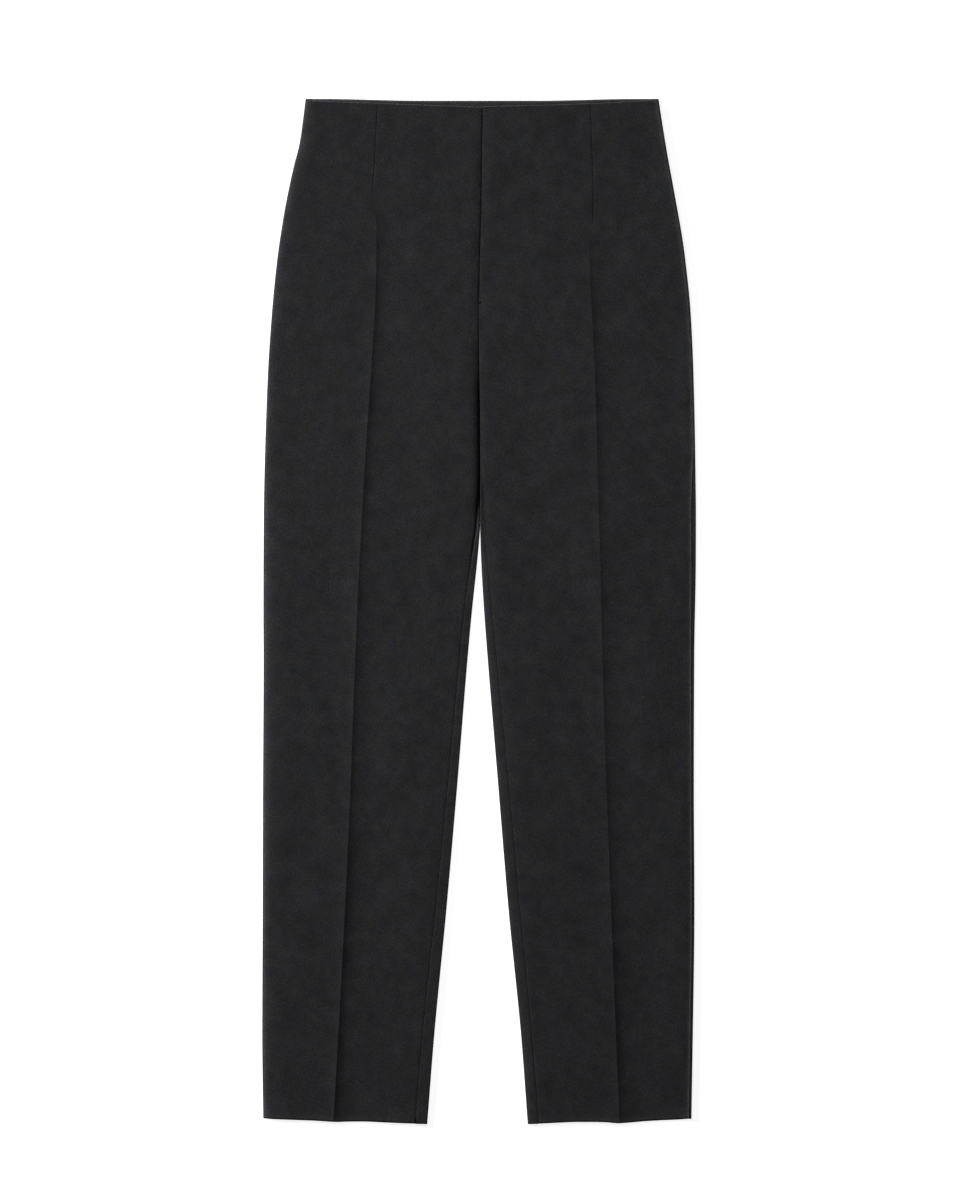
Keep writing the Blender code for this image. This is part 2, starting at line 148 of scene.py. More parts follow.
LEFT_FOLD = (
    Fold(510.5, 111.2),
    Fold(466.5, 113.0),
    Fold(416.5, 114.0),
    Fold(391.0, 113.8),
    Fold(366.0, 110.4),
    Fold(351.5, 110.4),
    Fold(300.5, 112.8),
    Fold(239.5, 115.7),
    Fold(171.5, 117.8),
    Fold(51.5, 121.1),
    Fold(-48.5, 123.5),
    Fold(-173.5, 127.3),
    Fold(-298.5, 132.1),
    Fold(-423.5, 136.9),
    Fold(-509.0, 140.5),
)

# crown is the height of the top panel, dip how far the wearer's right front falls to the
# centre-front seam, and closed runs from 0, where the two sides are one tube, to 1, where each
# leg is its own.
Height = namedtuple("Height", "y crown dip closed")

HEIGHTS = (
    Height(510.5, 6.1, 0.45, 0.0),
    Height(430.0, 6.0, 0.5, 0.0),
    Height(350.0, 5.7, 0.6, 0.0),
    Height(310.0, 5.6, 0.75, 0.0),
    Height(275.0, 5.5, 0.85, 0.18),
    Height(239.5, 5.4, 1.0, 0.62),
    Height(205.5, 5.3, 1.1, 0.88),
    Height(171.5, 5.2, 1.1, 1.0),
    Height(51.5, 5.1, 1.1, 1.0),
    Height(-173.5, 4.9, 1.1, 1.0),
    Height(-509.0, 4.7, 1.1, 1.0),
)

# Each long edge of a side is a roll of this radius, which the top panel meets at this slope.
Roll = namedtuple("Roll", "y outer_radius outer_slope inner_radius inner_slope")

RIGHT_ROLLS = (
    Roll(510.5, 1.3, radians(49), 1.5, radians(34)),
    Roll(250.0, 1.2, radians(50), 1.5, radians(34)),
    Roll(205.0, 1.1, radians(50), 0.7, radians(66)),
    Roll(118.0, 0.8, radians(51), 0.6, radians(68)),
    Roll(98.0, 0.7, radians(52), 1.9, radians(8)),
    Roll(50.0, 0.6, radians(52), 2.3, radians(0.8)),
    Roll(-173.5, 0.6, radians(52), 2.25, radians(0.4)),
    Roll(-509.0, 0.6, radians(52), 2.2, radians(0.4)),
)
LEFT_ROLLS = (
    Roll(510.5, 2.7, radians(1.5), 2.4, radians(2.5)),
    Roll(330.0, 2.5, radians(1.5), 2.4, radians(1.8)),
    Roll(280.0, 2.4, radians(1.5), 2.4, radians(1.0)),
    Roll(150.0, 2.3, radians(1.5), 2.4, radians(1.0)),
    Roll(100.0, 2.1, radians(1.0), 2.3, radians(3)),
    Roll(30.0, 2.0, radians(1.2), 1.4, radians(36)),
    Roll(-509.0, 1.9, radians(1.2), 1.2, radians(36)),
)

# The pressed creases rise from the panel on the wearer's right and fall further on the left,
# over this flank.
Crease = namedtuple("Crease", "y rise fall flank")

RIGHT_CREASES = (
    Crease(405.0, 0.0, 0.0, 6.0),
    Crease(392.0, 0.3, 0.8, 6.0),
    Crease(350.0, 0.75, 1.5, 6.0),
    Crease(239.5, 0.95, 1.75, 6.0),
    Crease(51.5, 1.2, 1.8, 6.0),
    Crease(-173.5, 1.2, 2.0, 6.3),
    Crease(-340.0, 1.1, 2.6, 7.0),
    Crease(-509.0, 1.2, 3.4, 8.5),
)
LEFT_CREASES = (
    Crease(380.0, 0.0, 0.0, 6.0),
    Crease(350.0, 0.35, 0.8, 6.0),
    Crease(300.0, 0.6, 1.3, 6.0),
    Crease(239.5, 0.6, 1.3, 6.0),
    Crease(51.5, 0.55, 1.35, 6.0),
    Crease(-173.5, 0.55, 1.5, 6.3),
    Crease(-340.0, 0.65, 2.0, 7.0),
    Crease(-509.0, 0.75, 2.6, 9.0),
)

# Low swells of the laid cloth: place, half-width across, half-length along, height.
Swell = namedtuple("Swell", "x y wide long height")

SWELLS = (
    Swell(-42.0, 190.0, 20.0, 80.0, 0.25),
    Swell(5.0, 150.0, 22.0, 105.0, 0.75),
    Swell(45.0, -385.0, 16.0, 55.0, 0.3),
    Swell(22.0, -80.0, 14.0, 60.0, 0.25),
    Swell(172.0, -95.0, 15.0, 50.0, 0.25),
    Swell(-62.0, 415.0, 14.0, 55.0, 0.25),
    Swell(190.0, 335.0, 16.0, 60.0, 0.25),
    Swell(7.0, 385.0, 22.0, 95.0, 0.6),
    Swell(-88.0, -330.0, 15.0, 60.0, 0.3),
    Swell(-205.0, -240.0, 18.0, 50.0, 0.3),
    Swell(152.0, 450.0, 18.0, 45.0, 0.2),
    Swell(-70.0, -10.0, 24.0, 70.0, -0.3),
    Swell(75.0, 90.0, 22.0, 80.0, -0.3),
)

# Still lower waves: their length, the way they run, where they start and their height.
Wave = namedtuple("Wave", "length angle start height")

WAVES = (
    Wave(118.0, radians(12), 0.4, 0.16),
    Wave(93.0, radians(-27), 2.1, 0.13),
    Wave(77.0, radians(38), 4.4, 0.11),
    Wave(61.0, radians(-8), 1.3, 0.08),
    Wave(52.0, radians(64), 5.2, 0.08),
    Wave(44.0, radians(-48), 3.5, 0.06),
    Wave(37.0, radians(21), 0.9, 0.045),
    Wave(31.0, radians(-70), 2.8, 0.04),
)

# The swells and waves die out over this distance from a seam.
STILL_NEAR_SEAM = 10.0

# ---- Waist and hem edges ---------------------------------------------------------------------

WAIST_LINE = 510.5
HEM_LINE = -509.2
END_FADE = 90.0

# The back's waist edge stands above the waist line at the sides and less so in the middle.
BACK_WAIST_RISE = 2.1
BACK_WAIST_FALL = 1.75
BACK_DIP_INNER = 60.0
BACK_DIP_OUTER = 155.0

# A front's waist edge stands this far above the waist line at the side, and falls from there to
# the centre front.
HALF_WAIST = 177.0
FrontWaist = namedtuple("FrontWaist", "rise fall power")
RIGHT_FRONT_WAIST = FrontWaist(0.15, 6.6, 0.95)
LEFT_FRONT_WAIST = FrontWaist(0.35, 6.0, 1.55)

# How far each leg's hem edge lies above the hem line, by the share of the leg's width from its
# outer edge. The front is a little shorter than the back.
Hem = namedtuple("Hem", "share right left")

HEMS = (
    Hem(0.0, 2.5, 2.1),
    Hem(0.06, 1.5, 1.3),
    Hem(0.2, 0.6, 0.2),
    Hem(0.3, 0.0, -0.8),
    Hem(0.38, -0.8, -2.0),
    Hem(0.45, -1.4, -2.7),
    Hem(0.52, -1.0, -1.7),
    Hem(0.6, -0.9, -1.4),
    Hem(0.7, -1.5, -1.4),
    Hem(0.8, -2.3, -2.0),
    Hem(0.9, -2.9, -2.8),
    Hem(1.0, -3.3, -3.4),
)
FRONT_HEM_SHORT = 1.4

# ---- Cloth -----------------------------------------------------------------------------------

# The shells' thickness, and the gap between two panels at a seam.
CLOTH = 1.0
SEAM_GAP = 0.2

# A panel's shoulder falls to the rolled edge half at once and half over a longer reach. The
# roll is pressed flat to this share of its height.
SLOW_RATIO = 3.0
FAST_PER_FALL = 0.5 + 0.5 / SLOW_RATIO
LEAST_FALL = 0.2
PRESSED = 0.12

# The thighs lap by a little, from below the zip down to where the legs part.
LAP = 0.02
LAP_STARTS = 304.0
LAP_START_FADE = 8.0
LAP_ENDS = 60.0
LAP_END_FADE = 80.0

# A crease falls gently to one side, and to the other steeply before it levels out again.
BROAD_FLANK = 7.0
RECOVERY = 80.0

# A stitched dart is a fine line whose intake lies raised beside it, narrower lower down.
DART_DEPTH = 0.16
DART_REACH = 0.45
DART_FADE = 14.0
INTAKE_WIDTH = 9.0
INTAKE_EDGE = 3.0
INTAKE_HEIGHT = 0.08
LEAST_INTAKE = 0.02

# The back's darts and creases, measured down from the waist line.
BACK_DART_DEPTH = 0.2
BACK_DART_LENGTH = 120.0
BACK_DART_FADE = 30.0
BACK_CREASE_DEPTH = 0.1
BACK_CREASE_TOP = 160.0
BACK_CREASE_FADE = 40.0

# How deep the seams lie, and how near to them the cloth falls in. The thick outer strip fills
# most of the outseam.
DIP_REACH = 2.4
SEAM_SINK_REACH = 1.1
OUTSEAM_SINK = 0.3
STRIP_FILLS = 0.8
BACK_OUTSEAM_SINK = 0.08
FRONT_SEAM_FADE = 16.0
INSEAM_SINK = 0.16
INSEAM_SHOWN = 3.0
CROTCH_LOW = 30.0
CROTCH_HIGH = 85.0

# Folded edges round inwards, the back's less than the front's and not at its outer corners.
EDGE_CURL = 0.8
BACK_CURL = 0.35
BACK_CURL_CORNER = 4.0

# The slight gathers beside a stitched seam are two waves along it.
Pucker = namedtuple("Pucker", "length height")

PUCKERS = (
    Pucker(10.5, 0.05),
    Pucker(17.85, 0.03),
)
PUCKER_REACH = 4.0
PUCKER_STARTS = 1.5

# The turned-in allowances thicken the hems, and the wearer's left outer edge in a narrow strip.
STRIP_HEIGHT = 1.05
STRIP_REACH = 0.95
STRIP_BEYOND_SEAM = 0.7
STRIP_WIDTH = 2.2
HEM_RISE = 0.95
HEM_REACH = 3.6

# The facing lies inside the back, its upper edge a little below the back's waist edge and its
# ends in from the side seams.
FACING_BELOW_EDGE = 1.3
FACING_DEPTH = 44.0
FACING_INSET = 7.0
FACING_TOP = 2.3
FACING_THICK = 0.9
FACING_CURL = 0.6
FACING_WAVE = 0.12
FACING_WAVE_LENGTH = 34.0 * pi
FACING_WAVE_REACH = 12.0

# The tack across the centre-front seam has strands one below the other, and a thread's end lies
# just below them.
THREAD_RADIUS = 0.22
TACK_START = (-0.4, 308.9, 5.35)
TACK_END = (2.4, 309.25, 5.35)
TACK_BULGE = 0.25
TACK_STRANDS = 4
TACK_PITCH = 0.42
TACK_POINTS = 7
LOOSE_START = (0.7, 307.1, 5.5)
LOOSE_END = (1.2, 306.7, 5.5)
LOOSE_BULGE = 0.2
LOOSE_POINTS = 5

# ---- Worn and shaded places ------------------------------------------------------------------

# Painted into the cloth's colour: how much lighter folded edges are, partly from rubbing and
# partly as a painted highlight, how much lighter the hems are as a painted sheen, and how much
# darker a dart's line is as painted shade.
WEAR_AND_HIGHLIGHT_REACH = 0.7
FRONT_EDGE_WEAR_AND_HIGHLIGHT = 0.4
BACK_WAIST_WEAR_AND_HIGHLIGHT = 0.6
BACK_HEM_WEAR_AND_HIGHLIGHT = 0.2
HEM_SHEEN = 0.25
# The lighter line on the strip's edge is partly rubbing and partly a painted highlight.
STRIP_WEAR_AND_HIGHLIGHT_IN = 0.4
STRIP_WEAR_AND_HIGHLIGHT_REACH = 0.85
DART_SHADE = 0.9

# The sheen painted into a front's colour along its outer edge: its strength and reach, which
# change from leg to hip.
LEG_TOP = 60.0
HIP = 220.0
Sheen = namedtuple("Sheen", "side on_leg on_hip leg_reach hip_reach")

SHEENS = (
    Sheen("right", 1.0, 1.0, 5.2, 3.0),
    Sheen("left", 0.12, 0.12, 4.0, 4.0),
    Sheen("left", 0.0, 0.42, 12.0, 12.0),
)

# The painted shade on a panel's inner edge in the gap between the thighs: it starts and ends at
# these y and is full between them, and it fades out between the distances near and far from the
# edge.
# Its strength goes from low to high above the crotch.
CROTCH_TOP = 225.0
ABOVE_CROTCH = 250.0
Shade = namedtuple("Shade", "panel starts full_from full_to ends near far low high")

SHADES = (
    Shade("front_right", 90.0, 112.0, 215.0, 242.0, 1.6, 5.4, 1.2, 1.2),
    Shade("front_left", 60.0, 110.0, 285.0, 304.0, 2.2, 3.4, 0.7, 0.55),
    Shade("back_right", 84.0, 104.0, 130.0, 150.0, 2.0, 6.0, 1.0, 1.0),
)

# ---- The two sides ---------------------------------------------------------------------------

# out is 1 where the outer edge lies towards +X, and -1 where it lies towards -X. dip_share and
# strip say how much a side has of the dip and of the outer strip, and the field after strip how
# much of the lighter line on the strip's edge, partly from rubbing and partly a painted
# highlight.
# front_seam is how deep its centre-front seam lies, and crotch_seam how much deeper than
# elsewhere its inseam lies at the crotch.
Side = namedtuple("Side", "name sections folds waist rolls creases out dart_end "
                  "dip_share strip strip_worn front_seam crotch_seam")

SIDES = (
    Side("right", RIGHT_SECTIONS, RIGHT_FOLD, RIGHT_FRONT_WAIST, RIGHT_ROLLS, RIGHT_CREASES,
         out=-1, dart_end=411.0, dip_share=1.0, strip=0.1, strip_worn=0.0, front_seam=0.3,
         crotch_seam=0.9),
    Side("left", LEFT_SECTIONS, LEFT_FOLD, LEFT_FRONT_WAIST, LEFT_ROLLS, LEFT_CREASES,
         out=1, dart_end=383.0, dip_share=0.13, strip=1.0, strip_worn=1.0, front_seam=0.12,
         crotch_seam=0.0),
)

# ---- How finely the shells are cut -----------------------------------------------------------

# Points lie FINE apart at an edge, and GROWTH further apart for each mm away from it, up to
# COARSE.
FINE = 0.3
COARSE = 3.2
GROWTH = 0.2
TURN_STEP = 0.9
NOMINAL_HALF = 95.0
NOMINAL_TURN = 15.0
BOTTOM_SEAM_WIDTH = 2.0
ARC_STEPS = 24
TOP_STEPS = 200
FACING_COLUMNS = 240


# ---- Curves ----------------------------------------------------------------------------------


def smooth_value(rows, name, at):
    """A column of a table where its first column is at, on a smooth curve with no overshoot."""
    known = sorted((row[0], getattr(row, name)) for row in rows)
    place, value = np.array(known).T
    step = np.diff(place)
    slope = np.diff(value) / step
    product = slope[:-1] * slope[1:]
    total = np.where(product > 0, slope[:-1] + slope[1:], 1.0)
    inner = np.where(product > 0, 2 * product / total, 0.0)
    tangent = np.concatenate([slope[:1], inner, slope[-1:]])
    i = np.clip(np.searchsorted(place, at) - 1, 0, len(step) - 1)
    t = np.clip((at - place[i]) / step[i], 0, 1)
    ends = (1 - t) ** 2 * (1 + 2 * t) * value[i] + t**2 * (3 - 2 * t) * value[i + 1]
    leans = t * (1 - t) * ((1 - t) * tangent[i] - t * tangent[i + 1])
    return ends + leans * step[i]


def smooth_step(low, high, at):
    """0 below low and 1 above high, smooth in between."""
    t = np.clip((at - low) / (high - low), 0, 1)
    return t * t * (3 - 2 * t)


def mixed(first, second, share):
    """A value this share of the way from first to second."""
    return first + (second - first) * share


def bell(distance, reach):
    """1 on a line, falling to both sides of it as a bell."""
    return np.exp(-((distance / reach) ** 2))


def fading(distance, reach):
    """1 on a line, fading away from it."""
    return np.exp(-distance / reach)


def shares(length, fine_start, fine_end, coarse=COARSE):
    """Places from 0 to 1 along a stretch, closer together at its fine ends."""
    places = [0.0]
    while places[-1] < length:
        near = [coarse / GROWTH]
        if fine_start:
            near.append(places[-1])
        if fine_end:
            near.append(max(length - places[-1], 0.0))
        places.append(places[-1] + min(FINE + GROWTH * min(near), coarse))
    return np.array(places) / places[-1]


def roll_arc(centre, radius, start, end):
    """Points on a pressed roll's ellipse, from one angle to another."""
    angles = np.linspace(start, end, ARC_STEPS)
    across = centre + PRESSED * radius * np.cos(angles)
    return np.stack([across, radius + radius * np.sin(angles)], axis=1)


def lengths_along(line):
    """The length from a line's start to each of its points."""
    return np.concatenate([[0.0], np.cumsum(np.hypot(*np.diff(line, axis=0).T))])


def points_at(line, lengths, wanted):
    """Points of a line at wanted lengths from its start."""
    return np.stack([np.interp(wanted, lengths, line[:, i]) for i in (0, 1)], axis=1)


# ---- One section -----------------------------------------------------------------------------

Cut = namedtuple("Cut", "width fold roll_in wrap_in crown dip closed roll")


def cut_at(side, y):
    """The sizes of one section, with distances measured inwards from the outer edge."""
    outer = smooth_value(side.sections, "outer", y)
    below = 1 - smooth_step(LAP_ENDS - LAP_END_FADE, LAP_ENDS, y)
    apart = below + smooth_step(LAP_STARTS, LAP_STARTS + LAP_START_FADE, y)
    lap = SEAM_GAP / 2 * apart - LAP * (1 - apart)
    inner = smooth_value(INNERS, side.name, y) + side.out * lap
    return Cut(
        width=abs(inner - outer),
        fold=abs(smooth_value(side.folds, "x", y) - outer),
        roll_in=smooth_value(side.sections, "roll_in", y),
        wrap_in=smooth_value(side.sections, "wrap_in", y),
        crown=smooth_value(HEIGHTS, "crown", y),
        dip=smooth_value(HEIGHTS, "dip", y) * side.dip_share,
        closed=smooth_value(HEIGHTS, "closed", y),
        roll=Roll(y, *(smooth_value(side.rolls, name, y) for name in Roll._fields[1:])),
    )


def roll_turn(radius, slope):
    """The angle short of the top at which a roll has this slope, and its width up to there."""
    short = atan(tan(slope) * PRESSED)
    return short, PRESSED * radius * (1 - sin(short))


def shoulder(crown, radius, slope, distance):
    """How far a panel lies below its crown, by the distance from its rolled edge."""
    fall = max(crown - radius * (1 + cos(roll_turn(radius, slope)[0])), LEAST_FALL)
    fast = fall * FAST_PER_FALL / tan(slope)

    def share(at):
        return (fading(at, fast) + fading(at, fast * SLOW_RATIO)) / 2

    return fall * (share(distance) - share(distance.max()) * distance / distance.max())


def section_line(cut, is_leg):
    """The outside of one section from the middle of the bottom, and its marks along it."""
    outer_radius, outer_slope = cut.roll.outer_radius, cut.roll.outer_slope
    inner_radius, inner_slope = cut.roll.inner_radius, cut.roll.inner_slope
    outer_short, start = roll_turn(outer_radius, outer_slope)
    inner_short, inner_width = roll_turn(inner_radius, inner_slope)
    end = cut.width - (inner_width if is_leg else 0.0)
    across = np.linspace(start, end, TOP_STEPS)
    up = cut.crown - shoulder(cut.crown, outer_radius, outer_slope, across - start)
    if is_leg:
        up = up - shoulder(cut.crown, inner_radius, inner_slope, end - across)
    else:
        up = up - cut.dip * fading(end - across, DIP_REACH)
    middle = np.array([(cut.width / 2, 0.0)])
    outer_centre = PRESSED * outer_radius
    inner_centre = cut.width - PRESSED * inner_radius
    outer_turn = roll_arc(outer_centre, outer_radius, 1.5 * pi, pi)
    outer_roll = roll_arc(outer_centre, outer_radius, pi, pi / 2 + outer_short)
    line = [middle, outer_turn, outer_roll[1:-1], np.stack([across, up], axis=1)]
    if is_leg:
        line.append(roll_arc(inner_centre, inner_radius, pi / 2 - inner_short, 0)[1:])
        line.append(roll_arc(inner_centre, inner_radius, 0, -pi / 2)[1:])
        line.append(middle)
    line = np.concatenate(line)
    lengths = lengths_along(line)
    upper = slice(ARC_STEPS, len(line) - ARC_STEPS if is_leg else len(line))
    top_across = np.maximum.accumulate(line[upper, 0])

    def mark(place):
        return float(np.interp(place, top_across, lengths[upper]))

    marks = {
        "outer_flat": cut.width / 2 - outer_centre,
        "outseam": mark(cut.roll_in),
        "fold": mark(cut.fold),
        "inseam": mark(cut.width - cut.wrap_in) if is_leg else lengths[-1],
        "inner_flat": lengths[-1] - (inner_centre - cut.width / 2),
    }
    return line, lengths, marks


HALF_SHARES = shares(NOMINAL_HALF, True, True)
BOTTOM_SHARES = shares(2 * NOMINAL_HALF, False, False)
TURN_SHARES = shares(NOMINAL_TURN, True, False, coarse=TURN_STEP)


def front_columns(cut, is_leg):
    """The front's outer points on one section, and their distances from seam, fold and seam."""
    line, lengths, marks = section_line(cut, is_leg)
    start = marks["outseam"] + SEAM_GAP / 2
    end = marks["inseam"] - (SEAM_GAP / 2 if is_leg else 0.0)
    outer = start + (marks["fold"] - start) * HALF_SHARES
    inner = marks["fold"] + (end - marks["fold"]) * HALF_SHARES
    wanted = np.concatenate([outer, inner[1:]])
    points = points_at(line, lengths, wanted)
    return np.column_stack([points, wanted - start, wanted - marks["fold"], end - wanted])


def back_columns(cut, is_leg):
    """The same for the back, from the inseam under the leg to the outseam."""
    line, lengths, marks = section_line(cut, is_leg)
    end = marks["outseam"] - SEAM_GAP / 2
    turn_out = marks["outer_flat"] + (end - marks["outer_flat"]) * (1 - TURN_SHARES[::-1])
    outer = points_at(line, lengths, turn_out)
    if is_leg:
        start = marks["inseam"] + SEAM_GAP / 2
        turn_in = start + (marks["inner_flat"] - start) * TURN_SHARES
        inner = points_at(line, lengths, turn_in)
    else:
        from_seam = BOTTOM_SEAM_WIDTH * TURN_SHARES
        inner = np.column_stack([cut.width - from_seam, np.zeros(len(from_seam))])
    flat = np.linspace(0, 1, len(BOTTOM_SHARES))[1:-1, None]
    bottom = inner[-1] * (1 - flat) + outer[0] * flat
    points = np.concatenate([inner, bottom, outer])
    along = lengths_along(points)
    under = slice(len(inner) - 1, len(inner) + len(bottom))
    fold_place = np.interp(-cut.fold, -points[under, 0], along[under])
    return np.column_stack([points, along[-1] - along, fold_place - along, along])


def blended(columns, side, y):
    """A panel's points on the section at y. Near the crotch the tube turns into a leg."""
    cut = cut_at(side, y)
    if cut.closed <= 0:
        return columns(cut, False)
    if cut.closed >= 1:
        return columns(cut, True)
    return mixed(columns(cut, False), columns(cut, True), cut.closed)


# ---- Edges -----------------------------------------------------------------------------------


def near_waist(y):
    """1 at the waist line, falling to 0 over END_FADE."""
    return np.clip(1 - (WAIST_LINE - y) / END_FADE, 0, 1)


def near_hem(y):
    """1 at the hem line, falling to 0 over END_FADE."""
    return np.clip(1 - (y - HEM_LINE) / END_FADE, 0, 1)


def back_waist_shift(x):
    """How far the back's waist edge lies above the waist line."""
    dip = 1 - smooth_step(BACK_DIP_INNER, BACK_DIP_OUTER, np.abs(x))
    return BACK_WAIST_RISE - BACK_WAIST_FALL * dip


def front_waist_shift(side, x):
    """How far a front's waist edge lies above the waist line, below zero for below it."""
    share = np.minimum(np.abs(x) / HALF_WAIST, 1)
    return side.waist.rise - side.waist.fall * (1 - share**side.waist.power)


def edge_curl(distance):
    """How far a folded edge rounds inwards."""
    t = np.clip(1 - distance / EDGE_CURL, 0, 1)
    return EDGE_CURL * (1 - np.sqrt(np.clip(1 - t * t, 0, 1)))


# ---- Forms on the panels ---------------------------------------------------------------------


def crease_height(side, y, inwards):
    """The pressed ridge's height, by y and the distance inwards from its line."""
    to_right = inwards * side.out
    away = np.abs(to_right)
    rise = smooth_value(side.creases, "rise", y)
    fall = smooth_value(side.creases, "fall", y)
    flank = smooth_value(side.creases, "flank", y)
    broad = rise * fading(away, BROAD_FLANK)
    sunk = rise - fall * (1 - fading(away, flank))
    steep = sunk + (fall - rise) * smooth_step(0, RECOVERY, away)
    return np.where(to_right > 0, broad, steep)


def stitched(side, y):
    """1 along the stitched dart and 0 below it."""
    return smooth_step(side.dart_end, side.dart_end + DART_FADE, y)


def dart_sink(side, y, inwards):
    """How deep the stitched dart lies, with its intake raised beside it."""
    height = (y - side.dart_end) / (WAIST_LINE - side.dart_end)
    width = INTAKE_WIDTH * np.clip(height, LEAST_INTAKE, 1)
    intake = smooth_step(0, INTAKE_EDGE, inwards)
    intake = intake * (1 - smooth_step(width, width + INTAKE_EDGE, inwards))
    return (DART_DEPTH * bell(inwards, DART_REACH) - INTAKE_HEIGHT * intake) * stitched(side, y)


def back_fold_sink(y, inwards):
    """How deep the back's dart and, below it, its pressed crease lie."""
    dart_end = WAIST_LINE - BACK_DART_LENGTH
    crease_top = WAIST_LINE - BACK_CREASE_TOP
    dart = BACK_DART_DEPTH * smooth_step(dart_end, dart_end + BACK_DART_FADE, y)
    crease = 1 - smooth_step(crease_top - BACK_CREASE_FADE, crease_top, y)
    return (dart + BACK_CREASE_DEPTH * crease) * bell(inwards, DART_REACH)


def laid_waves(x, y):
    """The low swells and waves of the laid cloth."""
    height = np.zeros_like(x)
    for swell in SWELLS:
        across = (x - swell.x) / swell.wide
        along = (y - swell.y) / swell.long
        height += swell.height * np.exp(-across * across - along * along)
    for wave in WAVES:
        way = x * cos(wave.angle) + y * sin(wave.angle)
        height += wave.height * np.sin(2 * pi * way / wave.length + wave.start)
    return height


def gathers(y, distance):
    """The slight gathers that a stitched seam makes beside it."""
    height = sum(pucker.height * np.sin(2 * pi * y / pucker.length) for pucker in PUCKERS)
    return height * fading(distance, PUCKER_REACH) * smooth_step(0, PUCKER_STARTS, distance)


def strip_height(side, across, seam_in):
    """How far the strip along the outer edge stands above the panel."""
    beyond = np.maximum(across - np.maximum(seam_in + STRIP_BEYOND_SEAM, STRIP_WIDTH), 0)
    return STRIP_HEIGHT * side.strip * fading(beyond, STRIP_REACH)


def inner_seam_depth(side, y):
    """The depth of the centre-front seam, and below it of the inseam once it leaves the edge."""
    front = side.front_seam * smooth_step(LAP_STARTS, LAP_STARTS + FRONT_SEAM_FADE, y)
    inseam = INSEAM_SINK + side.crotch_seam * smooth_step(CROTCH_LOW, CROTCH_HIGH, y)
    wrap_in = smooth_value(side.sections, "wrap_in", y)
    return front + inseam * smooth_step(0, INSEAM_SHOWN, wrap_in)


def edge_wear_and_highlight(distance):
    """1 on a folded edge that is lighter partly from rubbing and partly as a painted highlight,
    falling to 0 away from it.
    """
    return bell(distance, WEAR_AND_HIGHLIGHT_REACH)


def outer_sheen(side, y, from_outseam):
    """How much lighter a front's colour is along its outer edge: a painted sheen, and on the
    strip's edge a lighter line partly from rubbing and partly a painted highlight.
    """
    hip = smooth_step(LEG_TOP, HIP, y)
    light = side.strip_worn * bell(from_outseam - STRIP_WEAR_AND_HIGHLIGHT_IN, STRIP_WEAR_AND_HIGHLIGHT_REACH)
    for sheen in SHEENS:
        if sheen.side == side.name:
            reach = mixed(sheen.leg_reach, sheen.hip_reach, hip)
            light += mixed(sheen.on_leg, sheen.on_hip, hip) * fading(from_outseam, reach)
    return light


def thigh_shade(panel_name, y, from_inner):
    """How much darker a panel's colour is painted, as shade in the gap between the thighs."""
    dark = np.zeros_like(y)
    for shade in SHADES:
        if shade.panel == panel_name:
            strength = mixed(shade.low, shade.high, smooth_step(CROTCH_TOP, ABOVE_CROTCH, y))
            strength = strength * smooth_step(shade.starts, shade.full_from, y)
            strength = strength * (1 - smooth_step(shade.full_to, shade.ends, y))
            dark += strength * (1 - smooth_step(shade.near, shade.far, from_inner))
    return dark


# ---- Panels ----------------------------------------------------------------------------------

ROWS = WAIST_LINE - (WAIST_LINE - HEM_LINE) * shares(WAIST_LINE - HEM_LINE, True, True)

# A grid of places on a panel's outer surface, and their distances from its edges and lines.
Panel = namedtuple("Panel", "x y z across strip from_outseam from_fold from_inner "
                   "from_waist from_hem")


def laid_panel(side, columns, is_front):
    """A panel's outer surface, still without the forms on it."""
    table = np.array([blended(columns, side, y) for y in ROWS])
    across, z, from_outseam, from_fold, from_inner = np.moveaxis(table, 2, 0)
    outer = smooth_value(side.sections, "outer", ROWS)[:, None]
    seam_in = smooth_value(side.sections, "roll_in", ROWS)[:, None]
    width = np.array([cut_at(side, y).width for y in ROWS])[:, None]
    x = outer - side.out * across
    hem = smooth_value(HEMS, side.name, np.clip(across / width, 0, 1))
    if is_front:
        waist = front_waist_shift(side, x)
        hem = hem + FRONT_HEM_SHORT
    else:
        waist = back_waist_shift(x)
    line = ROWS[:, None]
    y = line + near_waist(line) * waist + near_hem(line) * hem
    return Panel(x, y, z, across, strip_height(side, across, seam_in), from_outseam, from_fold,
                 from_inner, from_waist=y[0] - y, from_hem=y - y[-1])


def moved_in(points, side, inwards):
    """A grid of points moved into the cloth, at right angles to its surface."""
    normal = np.cross(np.gradient(points, axis=0), np.gradient(points, axis=1))
    normal *= -side.out / np.linalg.norm(normal, axis=2, keepdims=True)
    return points - normal * inwards[:, :, None]


